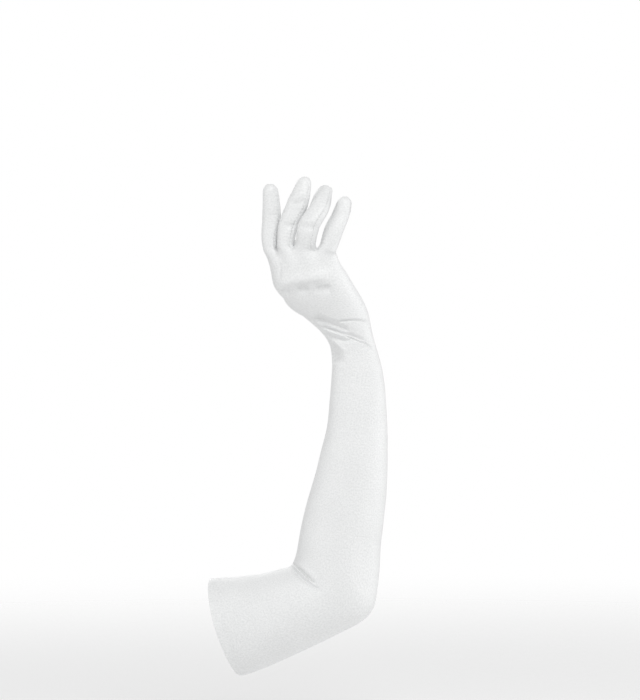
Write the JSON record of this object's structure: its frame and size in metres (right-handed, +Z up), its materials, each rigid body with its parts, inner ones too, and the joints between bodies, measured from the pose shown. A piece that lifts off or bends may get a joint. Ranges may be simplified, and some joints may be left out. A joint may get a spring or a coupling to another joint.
{
  "type": "long satin glove",
  "caption": "Elbow-covering stretch-satin dress glove for the right hand, open at the upper arm, kept in the bent-arm form that it has when worn",
  "frame": {"origin": "the middle of the arm opening at the hem", "axes": "+Z up along the raised forearm, -Y towards the back of the hand, -X out of the arm opening"},
  "size_m": [0.1939, 0.1192, 0.5383],
  "materials": {
    "satin": "white stretch-satin knit, smooth with a soft sheen",
    "hem": "the matt back of the same white knit, turned in"
  },
  "bodies": {
    "root": {"trank": "satin", "thumb": "satin", "fourchette_index_middle": "satin", "fourchette_middle_ring": "satin", "fourchette_ring_little": "satin", "hem": "hem"}
  },
  "joints": []
}
